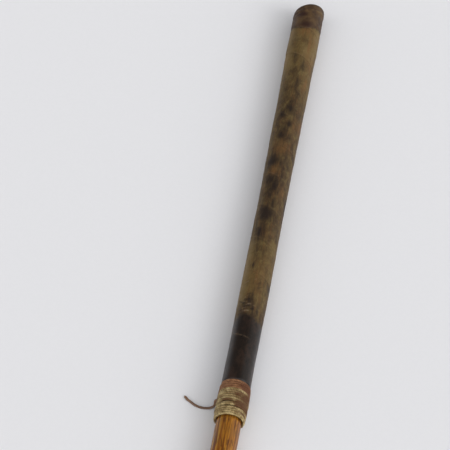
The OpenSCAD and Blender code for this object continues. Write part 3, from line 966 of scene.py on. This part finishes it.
def make_leather():
    tongue_end = WHIP_X + WHIP_LENGTH - TONGUE_SHORT
    seen = np.arange(LEATHER_SEEN_X, WHIP_X + 1, LEATHER_STEP)
    line = np.concatenate([[TUCK_X, 28], seen, np.linspace(WHIP_X + 2.5, tongue_end, 12)])
    angle = angles(LEATHER_SIDES)[None, :]
    x = np.broadcast_to(line[:, None], (len(line), LEATHER_SIDES))
    fx, fy, fz = grip_field(x, angle)
    black = black_zone(x, angle)
    rough = 1 - 0.75 * black
    r = eased_curve(x, GRIP_STATIONS)
    r = r + SWELLINGS * lumps(fx / 38, fy / 22, fz / 22, seed=1, octaves=2) * between(585, 560, x)
    r = r + WRINKLES * rough * lumps(fx / 6, fy / 14, fz / 14, seed=2, octaves=3)
    r = r + GRAIN * rough * lumps(fx / 1.8, fy / 4, fz / 4, seed=6, octaves=2)
    past = strip_phase(x, angle)
    worn = 0.55 + 0.45 * lumps(fx / 30, fy / 20, fz / 20, seed=7, octaves=2)
    seam_depth = np.clip(worn, 0.1, 1) * (1 - black)
    past_mid = np.minimum(past, STRIP_PITCH - past)
    before_seam = past > STRIP_PITCH / 2
    lip = np.where(before_seam, hump(past_mid, 0, 2.6) * SEAM_LIP, -hump(past_mid, 0, 3.2) * SEAM_DIP)
    r = r + lip * seam_depth
    crease = crease_line(x, angle)
    r = r + 0.12 * crease
    ripple = hump(x, RIPPLE_X, 11) * hump(around(angle, RIPPLE_ANGLE), 0, 32)
    r = r + RIPPLE_HEIGHT * ripple * np.sin(x * 1.35 + 2.2 * lumps(fx / 8, fy / 8, fz / 8, seed=11))
    edge = cap_edge(angle)
    r = np.where(x < edge + 1.2, SKIRT_INNER_R + (r - SKIRT_INNER_R) * between(edge - 1.4, edge + 0.6, x), r)
    swell = TONGUE_T + WHIP_SWELL * np.sin(math.pi * np.clip((x - WHIP_X) / WHIP_LENGTH, 0, 1))
    tongue = WHIP_WOOD_R + swell
    r = r + (tongue - r) * between(WHIP_X - 1.2, WHIP_X + 1.2, x)
    inner_line = np.linspace(tongue_end, TUCK_X, 24)
    inner = eased_curve(inner_line, GRIP_STATIONS) - LEATHER_T
    inner = np.where(inner_line > WHIP_X, WHIP_WOOD_R, inner)
    inner = np.where(inner_line < 50, SKIRT_INNER_R - 0.9, inner)
    inner = np.broadcast_to(inner[:, None], (len(inner_line), LEATHER_SIDES))
    inner_x = np.broadcast_to(inner_line[:, None], inner.shape)
    piece = lathe(
        "leather_wrap",
        np.vstack([x, inner_x]),
        np.vstack([r, inner]),
        LEATHER,
        ["grip_leather"],
    )

    stain = patches(x, angle, STAINS + unseen_spots(UNSEEN_STAINS, 5))
    stain = stain + 0.25 * hump(past, 4, 6) * seam_depth
    # Darker next to the cap's edge: painted shade where the leather runs under the cap
    stain = stain + 0.3 * hump(x - edge, 0, 2.5) + 0.2 * hump(x - edge, 0, 8)
    warm = patches(x, angle, WARMS + unseen_spots(UNSEEN_WARMS, 8))
    tone_and_painted_light = eased_curve(x, TONES) + 0.25 * lumps(fx / 45, fy / 14, fz / 14, seed=15)
    # Painted light: paler towards both sides, away from the front, and paler still on the dimly lit left side
    tone_and_painted_light = tone_and_painted_light + 0.15 * between(30, 75, np.abs(around(angle, 100)))
    left = between(112, 138, angle) * between(215, 180, angle)
    tone_and_painted_light = tone_and_painted_light + left * (0.6 * hump(x, 428, 40) + 0.4 * hump(x, 75, 45) + 0.16)
    # Painted light: paler places, most on the dimly lit left side
    pale = patches(x, angle, PAINTED_LIGHT_PALES)
    # A dark line at each edge of the strip, and painted shade in the dark creases
    seam = hump(past, 0.6, 0.8) * seam_depth * 0.45 + np.clip(-crease, 0, 1)
    crease = np.clip(crease, 0, 1) + 0.3 * hump(past, STRIP_PITCH - 0.9, 0.8) * seam_depth
    hidden = np.zeros(inner.size)
    values = dict(stain=stain, tone_and_painted_light=tone_and_painted_light, warm=warm, pale=pale, polish=black, crease=crease, seam=seam)
    paint(piece, **{k: np.concatenate([np.asarray(v).ravel(), hidden]) for k, v in values.items()})


make_leather()

# ---------------------------------------------------------------- butt cap and its tack
CAP_SIDES = 112
CAP_DOME = 10.3
CAP_WALL = 1.6
# The worn end slopes: it is this much lower, for each mm towards -Y, and this much lower in all
CAP_SLOPE = 0.23
CAP_DROP = 0.7
# The moulded ridge round the cap's end and the fold behind it: mm from the butt, height or depth
RIDGE_X = 16
RIDGE_HEIGHT = 0.26
RIDGE_HOLLOW = 0.36
FOLD_X = 29
FOLD_DEPTH = 0.22


def cap_lean(x, y):
    """How far the cap's worn end is set back towards the head, in mm."""
    return (CAP_DROP - CAP_SLOPE * y) * between(26, 8, x)


def make_cap():
    cap_r = CAP_R / MM
    t = np.radians(np.linspace(1.5, 90, 34))
    dome_x = CAP_DOME * (1 - np.cos(t))
    dome_r = cap_r * np.sin(t)
    share = np.linspace(0, 1, 62)[1:]
    angle = angles(CAP_SIDES)[None, :]
    turn = np.radians(angle)
    edge = cap_edge(angle) + 0.4 * lumps(np.cos(turn) * 9, np.sin(turn) * 9, 0, seed=12)
    skirt_x = CAP_DOME + share[:, None] * (edge - CAP_DOME)
    ones = np.ones((1, CAP_SIDES))
    x = np.vstack([dome_x[:, None] * ones, skirt_x])
    r = np.vstack([dome_r[:, None] * ones, cap_r * np.ones(skirt_x.shape)])
    fx, fy, fz = x, r * np.cos(turn), r * np.sin(turn)
    # Skived edge, a moulded ridge round the end, and dents and wrinkles
    before_edge = edge - x
    r = r - 0.35 * between(5, 0, before_edge)
    r = r - 0.25 * between(1.0, 0, before_edge)
    ridge_x = RIDGE_X + 1.5 * np.cos(turn - 2.4)
    ridge = hump(x, ridge_x, 1.5)
    r = r + RIDGE_HEIGHT * ridge - RIDGE_HOLLOW * hump(x, ridge_x + 4, 2.6)
    fold_x = FOLD_X + 3.5 * np.sin(turn * 2 + 0.6)
    fold = hump(x, fold_x, 1.8)
    r = r - FOLD_DEPTH * fold
    r = r + 0.28 * lumps(fx / 12, fy / 9, fz / 9, seed=13, octaves=3) * between(0, 9, x)
    r = r + 0.08 * lumps(fx / 2.2, fy / 3, fz / 3, seed=14, octaves=3) * between(0, 9, x)
    lean = cap_lean(x, r * np.cos(turn))
    inner_share = np.linspace(1, 0, 20)
    inner_x = CAP_WALL + inner_share[:, None] * (edge - CAP_WALL)
    inner_r = np.where(inner_x > edge - 2.5, r[-1:] - 0.45, SKIRT_INNER_R)
    inner_r = inner_r * np.sqrt(np.clip((inner_x - CAP_WALL + 0.4) / 9, 0, 1)) ** 0.7
    inner_lean = cap_lean(inner_x, inner_r * np.cos(turn))
    piece = lathe(
        "cap_shell",
        np.vstack([x + lean, inner_x + inner_lean]),
        np.vstack([r, inner_r]),
        CAP_LEATHER,
        ["butt_cap"],
    )
    # Scuffed paler along the ridge and at the cut edge, with a painted highlight where the ridge faces the
    # light, round 60 degrees
    wear = ridge * (0.2 + 0.75 * hump(around(angle, 60), 0, 34)) + 0.4 * between(1.6, 0.2, before_edge)
    wear = wear + 0.5 * hump(x, 13, 4) * hump(around(angle, 108), 0, 22)
    # Painted shade in the hollow behind the ridge and in the fold
    stain = 0.22 * hump(x, ridge_x + 5, 4) + 0.2 * fold
    stain = stain + 0.95 * hump(x, 42, 6) * hump(around(angle, 95), 0, 30)
    stain = stain + 0.75 * hump(x, 26, 5) * hump(around(angle, 118), 0, 20)
    stain = stain + 1.0 * hump(x, 0, 7) * between(170, 30, np.abs(around(angle, 100))) + 0.7 * hump(x, 0, 4)
    hidden = np.zeros(inner_r.size)
    paint(piece, wear=np.concatenate([wear.ravel(), hidden]), stain=np.concatenate([stain.ravel(), hidden]))


def make_cap_tack():
    """The domed tack in the cap's end, a little hammered, lying square on the sloping leather."""
    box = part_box("cap_tack")
    head_r = box[1].z / MM
    crown = (box[0].x - BUTT) / MM
    foot = (box[1].x - BUTT) / MM
    sides = 48
    t = np.radians(np.linspace(3, 90, 14))
    profile = [(crown + (0.9 - crown) * (1 - math.cos(a)) ** 0.9, head_r * math.sin(a)) for a in t]
    profile += [(1.5, head_r * 0.97), (1.7, head_r * 0.8), (1.8, 1.5), (foot - 4, 1.2), (foot, 0.2)]
    x, r = (np.array(v)[:, None] * np.ones((1, sides)) for v in zip(*profile))
    turn = np.radians(angles(sides))[None, :]
    y, z = r * np.cos(turn), r * np.sin(turn)
    x = x + 0.12 * lumps(x / 3, y / 1.6, z / 1.6, seed=21) * between(4, 1, x) + cap_lean(x, y)
    lathe("domed_tack", x, r, BRASS, ["cap_tack"], closed=False)


make_cap()
make_cap_tack()


# ---------------------------------------------------------------- bronze head
HEAD_VOXEL = 0.75
HEAD_SMOOTHING = 9
HEAD_ROLL = math.radians(11.23)
# The screws: mm from the socket's mouth, and on which side of it
SCREWS = [(24, 1), (46, -1)]
SCREW_HEAD_R = 4.4
# How deep the casting is sunk round each screw, and how long the rubbed spike's end is, in mm
SCREW_SINK = 0.6
SPIKE_RUBBED = 34


def apply_modifiers(piece):
    """Replaces the piece's mesh by the one that its modifiers make."""
    graph = bpy.context.evaluated_depsgraph_get()
    made = bpy.data.meshes.new_from_object(piece.evaluated_get(graph))
    piece.modifiers.clear()
    piece.data = made


def make_head():
    """The casting: the CAD head's form, with its joints filled and its edges eased, a sand-cast skin,
    and wear on the ball and in the hook."""
    source = frame["nodes"]["hook_head"].data.copy()
    piece = bpy.data.objects.new("cast_head", source)
    bpy.context.scene.collection.objects.link(piece)
    remesh = piece.modifiers.new("remesh", "REMESH")
    remesh.mode = "VOXEL"
    remesh.voxel_size = HEAD_VOXEL * MM
    smooth = piece.modifiers.new("smooth", "SMOOTH")
    smooth.factor = 0.5
    smooth.iterations = HEAD_SMOOTHING
    apply_modifiers(piece)
    mesh = piece.data
    mesh.materials.clear()
    mesh.materials.append(BRONZE)
    mesh.shade_smooth()
    points, normals = points_and_normals(mesh)
    x, y, z = points.T / MM
    push = 0.16 * lumps(x / 14, y / 9, z / 9, seed=31, octaves=3) + 0.05 * lumps(x / 3, y / 3, z / 3, seed=32)
    for screw_x, side in SCREWS:
        up = (y * math.sin(HEAD_ROLL) + z * math.cos(HEAD_ROLL)) * side
        across = y * math.cos(HEAD_ROLL) - z * math.sin(HEAD_ROLL)
        away = np.hypot(x - HEAD_START / MM - screw_x, across)
        sunk = between(SCREW_HEAD_R + 1.4, SCREW_HEAD_R - 0.2, away) * (up > 0)
        push = push - SCREW_SINK * sunk
    points = points + normals * push[:, None] * MM
    points[:, 2] = np.maximum(points[:, 2], FLOOR)
    mesh.vertices.foreach_set("co", points.ravel())
    mesh.update()
    bend = curvature(piece, passes=6)
    far = between(HEAD_END / MM - SPIKE_RUBBED, HEAD_END / MM - 6, x)
    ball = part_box("hook_head")[1].y / MM
    hook = between(ball - 26, ball - 6, y)
    rubbed = np.clip(bend * 9, 0, 1) * 0.8 + 0.7 * far + 0.55 * hook
    hollow = np.clip(-bend * 14, 0, 1)
    paint(piece, rubbed=rubbed, hollow=hollow)
    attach(piece, "root")
    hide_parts("hook_head")


make_head()


# ---------------------------------------------------------------- pole
POLE_SIDES = 96
POLE_BUTT_R = 15.6
WRAP_T = 2.2
POLE_NOSE_X = 1275
HEAD_X = 1315
POLE_END_X = 1395
POLE_END_R = 9.6


def make_pole():
    """The turned ash pole. Its butt end slopes as the worn cap does, and its shaft is a little uneven."""
    t = np.radians(np.linspace(3, 90, 12))
    dome_x = CAP_WALL + (CAP_DOME - CAP_WALL) * (1 - np.cos(t))
    grip_x = np.arange(14, WHIP_X, 4)
    grip_r = np.where(grip_x < GRIP_STATIONS[0][0], POLE_BUTT_R, eased_curve(grip_x, GRIP_STATIONS) - WRAP_T)
    whip_end = WHIP_X + WHIP_LENGTH
    seat_x = [WHIP_X, whip_end - 0.2]
    shaft_x = np.arange(whip_end, POLE_NOSE_X, 2)
    nose_x = [POLE_NOSE_X, HEAD_X, POLE_END_X, POLE_END_X + 0.1]
    shaft_r = SHAFT_R / MM
    nose_r = [shaft_r, WHIP_WOOD_R, POLE_END_R, 0.3]
    x = np.concatenate([dome_x, grip_x, seat_x, shaft_x, nose_x])
    whip_r = [WHIP_WOOD_R, WHIP_WOOD_R]
    r = np.concatenate([POLE_BUTT_R * np.sin(t), grip_r, whip_r, np.full(len(shaft_x), shaft_r), nose_r])
    angle = np.radians(angles(POLE_SIDES))[None, :]
    x = x[:, None] * np.ones((1, POLE_SIDES))
    bare = between(whip_end, whip_end + 20, x) * between(HEAD_X - 4, HEAD_X - 30, x)
    uneven = lumps(x / 90, np.cos(angle) * 1.2, np.sin(angle) * 1.2, seed=41, octaves=2)
    scraped = lumps(x / 30, np.cos(angle) * 5, np.sin(angle) * 5, seed=42, octaves=2)
    r = r[:, None] + bare * (0.09 * uneven + 0.03 * scraped)
    x = x + cap_lean(x, r * np.cos(angle))
    lathe("ash_pole", x, r, WOOD, ["pole"], closed=False)


make_pole()

# ---------------------------------------------------------------- CAD nodes that show as they are
def dress(node, material):
    """Gives a CAD node its procedural material."""
    piece = frame["nodes"][node]
    piece.data.materials.clear()
    piece.data.materials.append(material)


dress("grip_underlay", CANVAS)
dress("leather_tacks", COPPER)
dress("head_screws", BRASS)


# ---------------------------------------------------------------- floor and light
FLOOR_HALF = 40
# Brightness that the studio gives off: overhead, from its window towards +Y, near the horizon on the
# other side, and from the wall behind the camera
OVERHEAD = 0.16
WINDOW = 0.5
HORIZON = 0.04
FRONT = 1.27
# Brightness of the plain backdrop that the camera sees past the floor
BACKDROP = 0.785
# The soft sun: which way it lies, its strength, and how wide it is in degrees
SUN_FROM = Vector((0.3, 0.76, 0.6))
SUN_STRENGTH = 0.65
SUN_ANGLE = 26


def make_world():
    """Light from all round, unequal in strength. Limits in fit are shares of a unit direction."""
    world = bpy.data.worlds.new("studio")
    world.use_nodes = True
    g = Graph(world.node_tree)
    x, y, z = g.parts(g.nodes.new("ShaderNodeTexCoord").outputs["Generated"])
    glow = g.math("ADD", g.fit(y, 0.24, 0.46, 0, WINDOW), OVERHEAD)
    low = g.math("MULTIPLY", g.fit(z, 0.4, 0.0), g.fit(y, -0.35, -0.8))
    glow = g.math("ADD", glow, g.math("MULTIPLY", low, HORIZON))
    glow = g.math("ADD", glow, g.fit(x, -0.15, 0.4, 0, FRONT))
    straight = g.nodes.new("ShaderNodeLightPath").outputs["Is Camera Ray"]
    background = g.nodes.new("ShaderNodeBackground")
    g.put(background.inputs["Strength"], g.blend(straight, glow, BACKDROP))
    background.inputs["Color"].default_value = (1, 1, 1.01, 1)
    output = g.nodes.new("ShaderNodeOutputWorld")
    g.link(background.outputs[0], output.inputs["Surface"])
    bpy.context.scene.world = world


def make_stage():
    mesh = bpy.data.meshes.new("floor")
    h = FLOOR_HALF
    mesh.from_pydata([(-h, -h, FLOOR), (h, -h, FLOOR), (h, h, FLOOR), (-h, h, FLOOR)], [], [(0, 1, 2, 3)])
    mesh.materials.append(floor_material())
    floor = bpy.data.objects.new("floor", mesh)
    bpy.context.scene.collection.objects.link(floor)
    make_world()
    data = bpy.data.lights.new("sun", "SUN")
    data.energy = SUN_STRENGTH
    data.angle = math.radians(SUN_ANGLE)
    sun = bpy.data.objects.new("sun", data)
    sun.rotation_mode = "QUATERNION"
    sun.rotation_quaternion = SUN_FROM.to_track_quat("Z", "Y")
    bpy.context.scene.collection.objects.link(sun)
    bpy.context.scene.view_settings.view_transform = "Standard"


make_stage()
